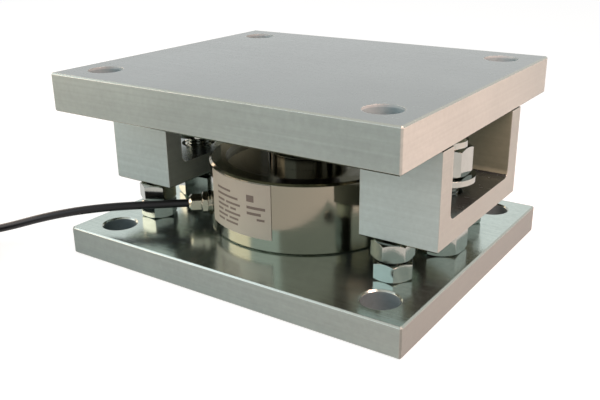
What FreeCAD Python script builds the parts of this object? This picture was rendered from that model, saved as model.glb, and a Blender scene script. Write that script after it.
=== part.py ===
import FreeCAD, Part
import math
import os

# Weigh module: a low compression load cell between a base plate and a top plate.
# The top plate rests on the cell through a load button and a thrust piece. Two stirrups under the top
# plate hold the anti-lift studs, and four jack screws can take the load off the cell.
# Millimetres. The origin is the centre of the base plate's underside, +Z is up, X runs along the
# stirrups' line and -Y is the side with the label.

V = FreeCAD.Vector
UP = V(0, 0, 1)

# Base plate
base_length = 203.0
base_width = 167.0
base_thickness = 15.5
base_hole_diameter = 18.0
base_hole_edge_x = 19.5
base_hole_edge_y = 17.5

# Top plate
top_length = 200.0
top_width = 172.0
top_thickness = 20.0
top_hole_diameter = 18.0
top_hole_edge_x = 19.0
top_hole_edge_y = 20.0

# Broken edges of plates and stirrups
edge_break = 0.8

# Load cell body, with heights above the base plate
cell_diameter = 108.0
cell_height = 37.5
cell_edge = 1.2
foot_width = 10.0
foot_relief = 2.0
chamber_wall = 12.0
chamber_depth = 24.0
load_head_diameter = 44.0
load_head_rise = 4.0
head_edge = 1.0
rim_width = 9.0
groove_depth = 3.0
core_diameter = 52.0
cover_thickness = 2.0
cover_ledge = 3.0

# Load button and thrust piece
button_diameter = 32.0
button_height = 12.5
button_crown_radius = 160.0
button_edge = 1.0
spigot_diameter = 16.0
spigot_depth = 8.0
thrust_diameter = 38.0
thrust_drop = 12.0
thrust_seat_depth = 5.0
thrust_edge = 1.5

# Screws that hold the cell on the base plate
cell_screw_count = 3
cell_screw_diameter = 6.0
cell_screw_reach = 10.0
cell_screw_head_diameter = 10.0
cell_screw_head_height = 6.0
cell_screw_socket_flats = 5.0
cell_screw_socket_depth = 3.0
cell_screw_sink = 0.5
cell_screw_first_angle = 30.0

# Gauges and terminal board in the cell's chamber
gauge_count = 4
gauge_length = 9.0
gauge_width = 6.0
gauge_thickness = 0.4
gauge_first_angle = 45.0
board_thickness = 1.6
board_span = 50.0
board_margin = 2.0

# Label on the cell's wall
label_width = 45.0
label_height = 29.0
label_thickness = 0.3
label_adhesive = 0.1
label_lift = 7.0
label_angle = 260.0

# Cable gland, with lengths along its own axis
gland_angle = 220.0
gland_height = 11.2
gland_boss_diameter = 14.0
gland_boss_proud = 1.5
gland_thread_diameter = 7.0
gland_flats = 11.0
gland_hex_length = 3.5
gland_nose_length = 4.5
gland_cap_flats = 9.0
gland_cap_gap = 0.5
gland_seal_length = 2.0
gland_lip = 0.8
gland_chamfer = 1.0

# Stirrups, welded under the top plate
cell_clearance = 6.0
stirrup_width = 95.0
stirrup_post = 11.5
stirrup_rail = 12.0
stirrup_corner = 4.0
weld_leg = 5.0
weld_inset = 3.0

# Jack screws: a stud in the base plate, its lock nut, and the jack nut under the stirrup's post
jack_diameter = 12.0
jack_nut_flats = 18.0
jack_nut_height = 9.0
jack_gap = 1.0
jack_offset = 5.0
jack_short = 1.0
jack_bottom = 2.0
jack_nut_turn = 30.0
jack_lock_nut_turn = 0.0

# Anti-lift studs with base nut, and self-locking nut with a captive washer
lift_diameter = 16.0
lift_nut_flats = 24.0
lift_base_nut_height = 13.0
lift_nut_height = 14.5
lift_collar_diameter = 22.5
lift_collar_height = 4.5
lift_insert_wall = 1.6
lift_washer_diameter = 32.0
lift_washer_thickness = 3.0
lift_play = 6.5
lift_overrun = 1.5
lift_bottom = 2.0
lift_nut_turn = 29.0
lift_base_nut_turn = 29.0

# Clearances
thread_clearance = 0.1
seat_clearance = 0.1
bolt_clearance = 0.3
rail_hole_clearance = 2.0
washer_clearance = 0.5
nut_chamfer_share = 0.96
nut_chamfer_angle = 30.0
stud_chamfer = 1.5

# Cable: a straight run out of the gland, then the points of its route to the coil
cable_diameter = 4.5
cable_straight = 20.0
cable_points = [
    (-89.1, -73.1, 25.9),
    (-113.4, -88.1, 21.1),
    (-141.8, -101.2, 11.1),
    (-175.6, -116.6, 3.25),
]
cable_arc_share = 0.45

# Coil of the stored length, with its ties, the tail on top and the bared wires
coil_centre = (-160.1, -153.2)
coil_radius = 33.0
coil_half_width = 11.25
coil_height = 12.3
coil_shoulder = 2.5
coil_tie_angles = (-10.0, 170.0)
coil_tie_width = 5.0
coil_tie_thickness = 1.0
tail_first_angle = 10.0
tail_span = 95.0
wire_count = 4
wire_diameter = 1.0
wire_length = 24.0
wire_pitch = 1.05
wire_spread = 3.0

# Places worked out from the sizes above
base_top = base_thickness
cell_radius = cell_diameter / 2
cell_top = base_top + cell_height
head_top = cell_top + load_head_rise
button_top = head_top + button_height
plate_under = button_top + thrust_drop
plate_top = plate_under + top_thickness
base_hole_x = base_length / 2 - base_hole_edge_x
base_hole_y = base_width / 2 - base_hole_edge_y
top_hole_x = top_length / 2 - top_hole_edge_x
top_hole_y = top_width / 2 - top_hole_edge_y
stirrup_outer = top_length / 2
stirrup_inner = cell_radius + cell_clearance
stirrup_length = stirrup_outer - stirrup_inner
stirrup_under = base_top + 2 * jack_nut_height + jack_gap
rail_top = stirrup_under + stirrup_rail
lift_x = (stirrup_outer + stirrup_inner) / 2
jack_x = lift_x - jack_offset
jack_y = stirrup_width / 2 - stirrup_post / 2
foot_inner = cell_radius - foot_width
chamber_outer = cell_radius - chamber_wall
chamber_inner = core_diameter / 2
cover_inner = chamber_inner - cover_ledge
chamber_floor = base_top + foot_relief + cover_thickness
chamber_top = chamber_floor + chamber_depth
cell_screw_circle = cell_radius - foot_width / 2
cell_screw_head_top = cell_screw_sink + cell_screw_head_height
gland_face = cell_radius + gland_boss_proud
gland_hex_end = gland_face + gland_hex_length
gland_nose_end = gland_hex_end + gland_nose_length
gland_exit = gland_nose_end + gland_seal_length + gland_lip
cable_radius = cable_diameter / 2
coil_base = coil_tie_thickness


# Building blocks

def cylinder(radius, z0, z1, x=0.0, y=0.0):
    """A round bar along Z from z0 to z1."""
    return Part.makeCylinder(radius, z1 - z0, V(x, y, z0))


def bar_x(radius, x0, x1):
    """A round bar along X from x0 to x1."""
    return Part.makeCylinder(radius, x1 - x0, V(x0, 0, 0), V(1, 0, 0))


def block(x0, x1, y0, y1, z0, z1):
    """A box between two corners."""
    return Part.makeBox(x1 - x0, y1 - y0, z1 - z0, V(x0, y0, z0))


def turned(outline):
    """A solid of revolution about Z, from a closed outline of (radius, height) points."""
    points = [V(r, 0, z) for r, z in outline]
    face = Part.Face(Part.makePolygon(points + points[:1]))
    return face.revolve(V(0, 0, 0), UP, 360)


def bent_strip(inner, outer, z0, z1, span):
    """A strip bent round Z, from the +X direction through the span."""
    points = [V(inner, 0, z0), V(outer, 0, z0), V(outer, 0, z1), V(inner, 0, z1)]
    face = Part.Face(Part.makePolygon(points + points[:1]))
    return face.revolve(V(0, 0, 0), UP, span)


def hexagon(flats, z0, z1):
    """A hexagonal bar along Z with that width across flats."""
    corner = flats / math.sqrt(3)
    turns = [math.radians(60 * k) for k in range(7)]
    points = [V(corner * math.cos(t), corner * math.sin(t), z0) for t in turns]
    return Part.Face(Part.makePolygon(points)).extrude(UP * (z1 - z0))


def chamfered_hexagon(flats, height):
    """A hexagonal bar from z 0 whose corners are turned off by a cone at both ends."""
    corner = flats / math.sqrt(3)
    end_radius = nut_chamfer_share * flats / 2
    fall = (corner - end_radius) * math.tan(math.radians(nut_chamfer_angle))
    envelope = turned([
        (0, 0),
        (end_radius, 0),
        (corner, fall),
        (corner, height - fall),
        (end_radius, height),
        (0, height),
    ])
    return hexagon(flats, 0, height).common(envelope)


def plain_nut(flats, height, thread, z0, turn):
    """A hexagon nut from z0, with its bore, turned about it."""
    bore = cylinder(thread / 2 + thread_clearance, 0, height)
    return at(turned_about_z(chamfered_hexagon(flats, height).cut(bore), turn), 0, 0, z0)


def stud(thread, z0, z1):
    """A stud with chamfered ends; its thread is drawn at the full diameter."""
    r = thread / 2
    tip = r - stud_chamfer
    return turned([(0, z0), (tip, z0), (r, z0 + stud_chamfer), (r, z1 - stud_chamfer), (tip, z1), (0, z1)])


def at(shape, x, y, z=0.0):
    """A copy of the shape, moved."""
    copy = shape.copy()
    copy.translate(V(x, y, z))
    return copy


def turned_about_z(shape, angle):
    """A copy of the shape, turned about the Z axis."""
    copy = shape.copy()
    copy.rotate(V(0, 0, 0), UP, angle)
    return copy


def corners(x, y):
    """The four places that mirror (x, y) in both axes."""
    return [(sx * x, sy * y) for sx in (-1, 1) for sy in (-1, 1)]


def copies(shape, places):
    """A group of separate copies of the shape."""
    return Part.makeCompound([at(shape, x, y) for x, y in places])


def edges_where(shape, test):
    """The edges whose ends both pass the test."""
    return [e for e in shape.Edges if all(test(v.Point) for v in e.Vertexes)]


# Plates

def drilled_plate(length, width, z0, z1, hole_diameter, hole_x, hole_y):
    """A plate with broken edges and a hole at each corner."""
    plate = block(-length / 2, length / 2, -width / 2, width / 2, z0, z1)
    plate = plate.makeChamfer(edge_break, plate.Edges)
    hole = cylinder(hole_diameter / 2, z0, z1)
    for x, y in corners(hole_x, hole_y):
        plate = plate.cut(at(hole, x, y))
    return plate


def base_hole_rim():
    """The broken upper edge of a bolt hole in the base plate."""
    return Part.makeCone(
        base_hole_diameter / 2, base_hole_diameter / 2 + edge_break, edge_break, V(0, 0, base_top - edge_break))


def base_plate():
    """The lower plate, tapped for the studs and counterbored from below for the cell's screws."""
    plate = drilled_plate(
        base_length, base_width, 0, base_top, base_hole_diameter, base_hole_x, base_hole_y)
    for x, y in corners(base_hole_x, base_hole_y):
        plate = plate.cut(at(base_hole_rim(), x, y))
    for x, y in corners(jack_x, jack_y):
        plate = plate.cut(cylinder(jack_diameter / 2 + thread_clearance, 0, base_top, x, y))
    for side in (-1, 1):
        plate = plate.cut(cylinder(lift_diameter / 2 + thread_clearance, 0, base_top, side * lift_x, 0))
    for x, y in cell_screw_places():
        plate = plate.cut(cylinder(cell_screw_diameter / 2 + bolt_clearance, 0, base_top, x, y))
        head = cylinder(cell_screw_head_diameter / 2 + bolt_clearance, 0, cell_screw_head_top, x, y)
        plate = plate.cut(head)
    return plate


def top_plate():
    """The upper plate, with the seat of the thrust piece in its underside."""
    plate = drilled_plate(
        top_length, top_width, plate_under, plate_top, top_hole_diameter, top_hole_x, top_hole_y)
    seat = cylinder(thrust_diameter / 2 + seat_clearance, plate_under, plate_under + thrust_seat_depth)
    return plate.cut(seat)


# Stirrups

def stirrup():
    """The right stirrup: two posts and a rail, with a hole in the rail for the stud."""
    half = stirrup_width / 2
    inside = half - stirrup_post
    outer = block(stirrup_inner, stirrup_outer, -half, half, stirrup_under, plate_under)
    lower = edges_where(outer, lambda p: abs(p.z - stirrup_under) < 1e-6)
    outer = outer.makeChamfer(edge_break, lower)
    window = block(stirrup_inner, stirrup_outer, -inside, inside, rail_top, plate_under)
    along = [e for e in edges_where(window, lambda p: abs(p.z - rail_top) < 1e-6)
             if abs(e.Vertexes[0].Y - e.Vertexes[1].Y) < 1e-6]
    window = window.makeFillet(stirrup_corner, along)
    hole = cylinder(lift_diameter / 2 + rail_hole_clearance, stirrup_under, rail_top, lift_x, 0)
    return outer.cut(window).cut(hole)


def stirrup_welds():
    """Fillet welds along the outer faces of the four posts, under the top plate."""
    start = stirrup_inner + weld_inset
    run = stirrup_length - 2 * weld_inset
    face = stirrup_width / 2
    points = [
        V(start, face, plate_under),
        V(start, face + weld_leg, plate_under),
        V(start, face, plate_under - weld_leg),
    ]
    bead = Part.Face(Part.makePolygon(points + points[:1])).extrude(V(run, 0, 0))
    beads = []
    for mirrored_bead in (bead, bead.mirror(V(0, 0, 0), V(0, 1, 0))):
        beads.append(mirrored_bead)
        beads.append(mirrored_bead.mirror(V(0, 0, 0), V(1, 0, 0)))
    return Part.makeCompound(beads)


# Load cell

def beside_gland(shape):
    """A shape made along +X from the cell's axis, brought to the gland's height and bearing."""
    return turned_about_z(at(shape, 0, 0, base_top + gland_height), gland_angle)


def cell_body():
    """The turned cell: foot ring, gauge chamber open below, membrane, load head and gland boss."""
    rim_inner = cell_radius - rim_width
    groove_floor = cell_top - groove_depth
    head = load_head_diameter / 2
    bore = spigot_diameter / 2 + seat_clearance
    bore_floor = head_top - spigot_depth
    core_bottom = base_top + foot_relief
    body = turned([
        (0, core_bottom),
        (cover_inner, core_bottom),
        (cover_inner, chamber_floor),
        (chamber_inner, chamber_floor),
        (chamber_inner, chamber_top),
        (chamber_outer, chamber_top),
        (chamber_outer, chamber_floor),
        (foot_inner, chamber_floor),
        (foot_inner, base_top),
        (cell_radius - edge_break, base_top),
        (cell_radius, base_top + edge_break),
        (cell_radius, cell_top - cell_edge),
        (cell_radius - cell_edge, cell_top),
        (rim_inner, cell_top),
        (rim_inner, groove_floor),
        (head, groove_floor),
        (head, head_top - head_edge),
        (head - head_edge, head_top),
        (bore, head_top),
        (bore, bore_floor),
        (0, bore_floor),
    ])
    middle_of_wall = (chamber_outer + cell_radius) / 2
    boss = bar_x(gland_boss_diameter / 2, middle_of_wall, gland_face)
    hole = bar_x(gland_thread_diameter / 2 + thread_clearance, chamber_inner, gland_face)
    body = body.fuse(beside_gland(boss)).removeSplitter().cut(beside_gland(hole))
    thread_radius = cell_screw_diameter / 2 + thread_clearance
    for x, y in cell_screw_places():
        body = body.cut(cylinder(thread_radius, base_top, base_top + cell_screw_reach, x, y))
    return body


def cell_cover():
    """The ring that closes the chamber from below."""
    z0 = base_top + foot_relief
    ring = cylinder(foot_inner - seat_clearance, z0, chamber_floor)
    return ring.cut(cylinder(cover_inner + seat_clearance, z0, chamber_floor))


def strain_gauges():
    """Gauge foils bonded to the underside of the membrane."""
    middle = (chamber_inner + chamber_outer) / 2
    foil = block(
        middle - gauge_length / 2,
        middle + gauge_length / 2,
        -gauge_width / 2,
        gauge_width / 2,
        chamber_top - gauge_thickness,
        chamber_top,
    )
    step = 360 / gauge_count
    return Part.makeCompound([turned_about_z(foil, gauge_first_angle + step * k) for k in range(gauge_count)])


def terminal_board():
    """The curved board on the cover where the gauges and the cable are joined."""
    inner = chamber_inner + board_margin
    outer = chamber_outer - board_margin
    sector = bent_strip(inner, outer, chamber_floor, chamber_floor + board_thickness, board_span)
    return turned_about_z(sector, gland_angle - board_span / 2)


def cell_screw_places():
    """Centres of the screws in the cell's foot ring."""
    places = []
    for k in range(cell_screw_count):
        turn = math.radians(cell_screw_first_angle + 360 * k / cell_screw_count)
        places.append((cell_screw_circle * math.cos(turn), cell_screw_circle * math.sin(turn)))
    return places


def cell_screws():
    """Socket head screws from below, sunk in the base plate."""
    head = cylinder(cell_screw_head_diameter / 2, cell_screw_sink, cell_screw_head_top)
    socket = hexagon(cell_screw_socket_flats, cell_screw_sink, cell_screw_sink + cell_screw_socket_depth)
    shank = cylinder(cell_screw_diameter / 2, cell_screw_head_top, base_top + cell_screw_reach)
    return copies(head.fuse(shank).cut(socket), cell_screw_places())


def cell_label():
    """A foil label bent round the cell's wall, held off it by its adhesive."""
    inner = cell_radius + label_adhesive
    span = math.degrees(label_width / inner)
    z0 = base_top + label_lift
    foil = bent_strip(inner, inner + label_thickness, z0, z0 + label_height, span)
    return turned_about_z(foil, label_angle - span / 2)


def load_button():
    """The button in the load head, with a slightly domed top that lets the plate tilt."""
    r = button_diameter / 2
    spigot = spigot_diameter / 2
    crown_fall = button_crown_radius - math.sqrt(button_crown_radius**2 - (r - button_edge)**2)
    shoulder = button_top - crown_fall
    crown_middle = (r - button_edge) / 2
    crown_z = button_top - button_crown_radius + math.sqrt(button_crown_radius**2 - crown_middle**2)
    points = [
        V(0, 0, button_top),
        V(0, 0, head_top - spigot_depth),
        V(spigot, 0, head_top - spigot_depth),
        V(spigot, 0, head_top),
        V(r, 0, head_top),
        V(r, 0, shoulder - button_edge),
        V(r - button_edge, 0, shoulder),
    ]
    sides = [Part.LineSegment(a, b).toShape() for a, b in zip(points, points[1:])]
    crown = Part.Arc(points[-1], V(crown_middle, 0, crown_z), points[0]).toShape()
    return Part.Face(Part.Wire(sides + [crown])).revolve(V(0, 0, 0), UP, 360)


def thrust_piece():
    """The hardened disc in the top plate that stands on the button."""
    r = thrust_diameter / 2
    top = plate_under + thrust_seat_depth
    return turned([
        (0, button_top),
        (r - thrust_edge, button_top),
        (r, button_top + thrust_edge),
        (r, top),
        (0, top),
    ])


# Cable gland

def along_x(shape, x):
    """A shape made along Z from z 0, laid along X from x."""
    copy = shape.copy()
    copy.rotate(V(0, 0, 0), V(0, 1, 0), 90)
    copy.translate(V(x, 0, 0))
    return copy


def gland_body():
    """The screwed-in body: thread, hexagon and nose, bored for the cable."""
    thread = bar_x(gland_thread_diameter / 2, chamber_outer, gland_face)
    hexed = along_x(chamfered_hexagon(gland_flats, gland_hex_length), gland_face)
    nose = bar_x(gland_thread_diameter / 2, gland_hex_end, gland_nose_end)
    bore = bar_x(cable_radius + seat_clearance, chamber_outer, gland_nose_end)
    return beside_gland(thread.fuse(hexed).fuse(nose).removeSplitter().cut(bore))


def gland_cap():
    """The hexagonal cap that presses the seal on the cable, with its outer end turned to a cone."""
    start = gland_hex_end + gland_cap_gap
    length = gland_exit - start
    corner = gland_cap_flats / math.sqrt(3)
    end_radius = gland_cap_flats / 2 - gland_chamfer
    cone_length = corner - end_radius
    envelope = turned([
        (0, 0),
        (corner, 0),
        (corner, length - cone_length),
        (end_radius, length),
        (0, length),
    ])
    cap = along_x(hexagon(gland_cap_flats, 0, length).common(envelope), start)
    pocket = bar_x(gland_thread_diameter / 2 + thread_clearance, start, gland_exit - gland_lip)
    hole = bar_x(cable_radius + seat_clearance, start, gland_exit)
    return beside_gland(cap.cut(pocket).cut(hole))


def gland_seal():
    """The rubber ring between the nose and the cap's lip."""
    start = gland_nose_end
    end = gland_exit - gland_lip
    ring = bar_x(gland_thread_diameter / 2, start, end)
    return beside_gland(ring.cut(bar_x(cable_radius + seat_clearance, start, end)))


def cable_entry():
    """The end of the cable inside the gland and the cell's wall."""
    return beside_gland(bar_x(cable_radius, chamber_outer, gland_exit))


# Fasteners

def jack_places():
    """Centres of the jack screws, under the stirrups' posts."""
    return corners(jack_x, jack_y)


def lift_places():
    """Centres of the anti-lift studs, in the middle of the stirrups' rails."""
    return [(-lift_x, 0), (lift_x, 0)]


def jack_studs():
    """Studs screwed into the base plate, ending inside the jack nuts."""
    return copies(stud(jack_diameter, jack_bottom, stirrup_under - jack_short), jack_places())


def jack_lock_nuts():
    """Nuts that lock the studs on the base plate."""
    nut = plain_nut(jack_nut_flats, jack_nut_height, jack_diameter, base_top, jack_lock_nut_turn)
    return copies(nut, jack_places())


def jack_nuts():
    """Nuts wound up against the stirrups."""
    z0 = stirrup_under - jack_nut_height
    nut = plain_nut(jack_nut_flats, jack_nut_height, jack_diameter, z0, jack_nut_turn)
    return copies(nut, jack_places())


def lift_washer_base():
    """Height of the captive washers' lower face, which leaves play above the stirrups' rails."""
    return rail_top + lift_play


def lift_nut_base():
    """Height of the self-locking nuts' lower face, on their washers."""
    return lift_washer_base() + lift_washer_thickness


def lift_studs():
    """Studs from the base plate through the stirrups' rails."""
    top = lift_nut_base() + lift_nut_height + lift_collar_height + lift_overrun
    return copies(stud(lift_diameter, lift_bottom, top), lift_places())


def lift_base_nuts():
    """Nuts that lock the anti-lift studs on the base plate."""
    nut = plain_nut(lift_nut_flats, lift_base_nut_height, lift_diameter, base_top, lift_base_nut_turn)
    return copies(nut, lift_places())


def lift_washers():
    """Captive washers under the self-locking nuts."""
    z0 = lift_washer_base()
    z1 = lift_nut_base()
    ring = cylinder(lift_washer_diameter / 2, z0, z1)
    return copies(ring.cut(cylinder(lift_diameter / 2 + washer_clearance, z0, z1)), lift_places())


def lift_nuts():
    """Self-locking nuts: a hexagon with a round collar that holds the insert."""
    height = lift_nut_height + lift_collar_height
    collar_radius = lift_collar_diameter / 2
    collar = turned([
        (0, lift_nut_height),
        (collar_radius, lift_nut_height),
        (collar_radius, height - stud_chamfer),
        (collar_radius - stud_chamfer, height),
        (0, height),
    ])
    bore_radius = lift_diameter / 2 + thread_clearance
    bore = cylinder(bore_radius, 0, height)
    pocket = cylinder(bore_radius + lift_insert_wall, lift_nut_height, height)
    nut = chamfered_hexagon(lift_nut_flats, lift_nut_height).fuse(collar).cut(bore).cut(pocket)
    return copies(at(turned_about_z(nut, lift_nut_turn), 0, 0, lift_nut_base()), lift_places())


def lift_inserts():
    """Nylon rings in the nuts' collars."""
    bore_radius = lift_diameter / 2 + thread_clearance
    z0 = lift_nut_base() + lift_nut_height
    z1 = z0 + lift_collar_height
    ring = cylinder(bore_radius + lift_insert_wall, z0, z1).cut(cylinder(bore_radius, z0, z1))
    return copies(ring, lift_places())


# Cable and its coil

def on_gland_axis(distance):
    """The point of the gland's axis at that distance from the cell's axis."""
    turn = math.radians(gland_angle)
    return V(distance * math.cos(turn), distance * math.sin(turn), base_top + gland_height)


def rounded_path(points):
    """Straight runs joined by tangent arcs as large as the shorter run beside each corner allows."""
    edges = []
    start = points[0]
    for before, corner, after in zip(points, points[1:], points[2:]):
        to_before = before - corner
        to_after = after - corner
        shorter = min(to_before.Length, to_after.Length)
        to_before.normalize()
        to_after.normalize()
        half_turn = (math.pi - to_before.getAngle(to_after)) / 2
        reach = cable_arc_share * shorter
        radius = reach / math.tan(half_turn)
        first = corner + to_before * reach
        last = corner + to_after * reach
        inward = to_before + to_after
        inward.normalize()
        middle = corner + inward * (radius / math.cos(half_turn) - radius)
        edges.append(Part.LineSegment(start, first).toShape())
        edges.append(Part.Arc(first, middle, last).toShape())
        print(f"cable bend radius {radius:.0f} mm, {radius / cable_diameter:.0f} diameters")
        start = last
    edges.append(Part.LineSegment(start, points[-1]).toShape())
    return Part.Wire(edges)


def cable():
    """The cable from the gland to the coil, cut where it enters the coil's outline."""
    exit_point = on_gland_axis(gland_exit)
    straight_end = on_gland_axis(gland_exit + cable_straight)
    path = rounded_path([exit_point, straight_end] + [V(*p) for p in cable_points])
    section = Part.Wire(Part.makeCircle(cable_radius, exit_point, straight_end - exit_point))
    tube = path.makePipeShell([section], True, False)
    expected = math.pi * cable_radius**2 * path.Length
    print(f"cable tube {tube.Volume:.0f} mm3, section times length {expected:.0f} mm3")
    outside = tube.cut(cable_coil())
    return max(outside.Solids, key=lambda solid: solid.Volume)


def coil_outline(grow):
    """The coil's section as (radius, height) points, grown outwards for a tie round it."""
    inner = coil_radius - coil_half_width - grow
    outer = coil_radius + coil_half_width + grow
    low = coil_base - grow
    high = coil_base + coil_height + grow
    shoulder = coil_shoulder
    return [
        (inner + shoulder, low),
        (outer - shoulder, low),
        (outer, low + shoulder),
        (outer, high - shoulder),
        (outer - shoulder, high),
        (inner + shoulder, high),
        (inner, high - shoulder),
        (inner, low + shoulder),
    ]


def coil_sector(grow, first_angle, span):
    """A part of the coil's outline swept about the coil's own axis."""
    points = [V(r, 0, z) for r, z in coil_outline(grow)]
    face = Part.Face(Part.makePolygon(points + points[:1]))
    sector = face.revolve(V(0, 0, 0), UP, span)
    return at(turned_about_z(sector, first_angle), *coil_centre)


def cable_coil():
    """The outer shape of the coiled cable."""
    return coil_sector(0, 0, 360)


def coil_ties():
    """Two straps round the coil."""
    span = math.degrees(coil_tie_width / coil_radius)
    coil = cable_coil()
    straps = [coil_sector(coil_tie_thickness, a - span / 2, span).cut(coil) for a in coil_tie_angles]
    return Part.makeCompound(straps)


def tail_height():
    """Height of the cable's middle where it lies on the coil."""
    return coil_base + coil_height + cable_radius


def cable_tail():
    """The end of the cable, lying on the coil between the ties."""
    circle = Part.makeCircle(cable_radius, V(coil_radius, 0, tail_height()), V(0, 1, 0))
    arc = Part.Face(Part.Wire(circle)).revolve(V(0, 0, 0), UP, tail_span)
    return at(turned_about_z(arc, tail_first_angle), *coil_centre)


def lead_wires():
    """The cable's wires, bared and fanned out at its end, with their tips on the coil."""
    wires = []
    wire_radius = wire_diameter / 2
    fall = math.asin((cable_radius - wire_radius) / wire_length)
    for k in range(wire_count):
        place = k - (wire_count - 1) / 2
        turn = math.radians(place * wire_spread)
        heading = V(math.sin(turn) * math.cos(fall), math.cos(turn) * math.cos(fall), -math.sin(fall))
        tilt = math.acos(heading.y)
        start = V(coil_radius + place * wire_pitch, wire_radius * math.sin(tilt), tail_height())
        wires.append(Part.makeCylinder(wire_radius, wire_length, start, heading))
    end_angle = tail_first_angle + tail_span
    return Part.makeCompound([at(turned_about_z(w, end_angle), *coil_centre) for w in wires])


def build():
    """Every piece by the name of its node."""
    right = stirrup()
    return {
        "base_plate": base_plate(),
        "top_plate": top_plate(),
        "left_stirrup": turned_about_z(right, 180),
        "right_stirrup": right,
        "stirrup_welds": stirrup_welds(),
        "cell_body": cell_body(),
        "cell_cover": cell_cover(),
        "cell_screws": cell_screws(),
        "cell_label": cell_label(),
        "strain_gauges": strain_gauges(),
        "terminal_board": terminal_board(),
        "load_button": load_button(),
        "thrust_piece": thrust_piece(),
        "gland_body": gland_body(),
        "gland_cap": gland_cap(),
        "gland_seal": gland_seal(),
        "cable_entry": cable_entry(),
        "jack_studs": jack_studs(),
        "jack_lock_nuts": jack_lock_nuts(),
        "jack_nuts": jack_nuts(),
        "lift_studs": lift_studs(),
        "lift_base_nuts": lift_base_nuts(),
        "lift_washers": lift_washers(),
        "lift_nuts": lift_nuts(),
        "lift_inserts": lift_inserts(),
        "cable": cable(),
        "cable_coil": cable_coil(),
        "coil_ties": coil_ties(),
        "cable_tail": cable_tail(),
        "lead_wires": lead_wires(),
    }


os.makedirs("parts", exist_ok=True)
for node, shape in build().items():
    shape.exportStep(f"parts/{node}.step")
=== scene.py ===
"""Looks of the weigh module: finishes, threads, weld beads, label print, cable and studio."""
import math

import bmesh
import bpy
import numpy as np
from bpy.props import FloatProperty, FloatVectorProperty, IntProperty, PointerProperty
from mathutils import Matrix, Vector


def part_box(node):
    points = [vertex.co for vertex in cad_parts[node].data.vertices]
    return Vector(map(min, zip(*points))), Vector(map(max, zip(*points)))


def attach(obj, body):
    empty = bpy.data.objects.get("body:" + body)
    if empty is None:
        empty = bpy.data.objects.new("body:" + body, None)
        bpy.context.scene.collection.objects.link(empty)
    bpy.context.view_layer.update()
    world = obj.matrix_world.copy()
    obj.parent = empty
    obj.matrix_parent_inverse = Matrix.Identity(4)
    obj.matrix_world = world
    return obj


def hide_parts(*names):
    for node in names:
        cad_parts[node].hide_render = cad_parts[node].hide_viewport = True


bl_info = {
    "name": "Weigh Module Looks",
    "version": (1, 0, 0),
    "blender": (4, 5, 0),
    "location": "View3D > Sidebar > Weigh Module",
    "description": "Finishes, threads, weld beads, label print, cable and studio of a weigh module",
    "category": "Object",
}

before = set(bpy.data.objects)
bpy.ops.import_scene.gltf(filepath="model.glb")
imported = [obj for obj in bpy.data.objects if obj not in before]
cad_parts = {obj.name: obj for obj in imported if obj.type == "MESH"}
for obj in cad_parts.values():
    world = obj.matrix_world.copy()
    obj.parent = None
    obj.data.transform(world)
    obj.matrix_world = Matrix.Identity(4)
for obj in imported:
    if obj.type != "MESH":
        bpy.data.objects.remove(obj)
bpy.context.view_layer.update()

FULL_TURN = 2 * math.pi
SIDES = (-1, 1)
CORNERS = tuple((side_x, side_y) for side_x in SIDES for side_y in SIDES)
WHITE = (1, 1, 1, 1)

# Edges of a new piece that are sharper than this angle stay sharp
CREASE = math.radians(40)

# Rise of a layer of the coil in diameters: its turns lie in the grooves of the layer below
LAYER_RISE = math.sin(math.radians(60))

# Part of a unit normal along an axis above which a surface counts as facing that way
FACING = 0.6

# Bolt holes: a place between the patterns of both plates, and a radius that takes in either hole, in metres
BOLT_PLACE = (0.0815, 0.066, 0)
BOLT_REACH = 0.0097

# Depth of the deburred rims of the top plate's holes, painted lighter down to it as a highlight, in metres
RIM_DEPTH = 0.0012

# Distance from the middle that takes in the sides of a stirrup's window but not its outer sides, in metres;
# those sides are painted dark as shade
WINDOW_REACH = 0.04

# Cutter lines on the sawn sides of the plates, in millimetres
LINE_LENGTH = 150
LINE_WIDTH = 1.3

# Radius of the cell's load head, within which the steel is painted darker as shade, in metres
HEAD_RADIUS = 0.0225

# Rows into which the label's height is divided
LABEL_ROWS = 11

# Route of the cable from the gland to the coil, in metres
CABLE_ROUTE = (
    (-0.05079, -0.04262, 0.0267),
    (-0.06611, -0.05547, 0.0267),
    (-0.0891, -0.0731, 0.0259),
    (-0.1134, -0.0881, 0.0211),
    (-0.1418, -0.1012, 0.0111),
    (-0.1756, -0.1166, 0.00325),
)

# Plain bars on the label: distance from its left end and length in metres, row from below and height in rows
PRINTED_BARS = (
    (0.0075, 0.0060, 1.6, 0.45),
    (0.0150, 0.0095, 1.6, 0.45),
    (0.0075, 0.0090, 2.6, 0.45),
    (0.0180, 0.0070, 2.6, 0.45),
    (0.0075, 0.0050, 3.6, 0.45),
    (0.0140, 0.0125, 3.6, 0.45),
    (0.0075, 0.0100, 4.6, 0.45),
    (0.0190, 0.0045, 4.6, 0.45),
    (0.0075, 0.0065, 5.6, 0.45),
    (0.0155, 0.0110, 5.6, 0.45),
    (0.0075, 0.0175, 6.8, 0.45),
    (0.0075, 0.0120, 8.0, 0.45),
    (0.0310, 0.0045, 7.2, 1.35),
    (0.0310, 0.0110, 5.8, 0.55),
    (0.0310, 0.0085, 4.6, 0.55),
    (0.0370, 0.0045, 3.6, 0.45),
)


# Colours and nodes

def linear(hex_colour):
    """Linear red, green and blue of an sRGB hex value."""
    channels = [int(hex_colour[k:k + 2], 16) / 255 for k in (1, 3, 5)]
    return [c / 12.92 if c <= 0.04045 else ((c + 0.055) / 1.055) ** 2.4 for c in channels]


def tinted(colour, share=1.0):
    """A colour as a socket's value, made darker or lighter by a share."""
    return (*(share * channel for channel in colour), 1.0)


def per_size(millimetres):
    """Texture scale at which one feature of a pattern has that size."""
    return 1000 / millimetres


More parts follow.
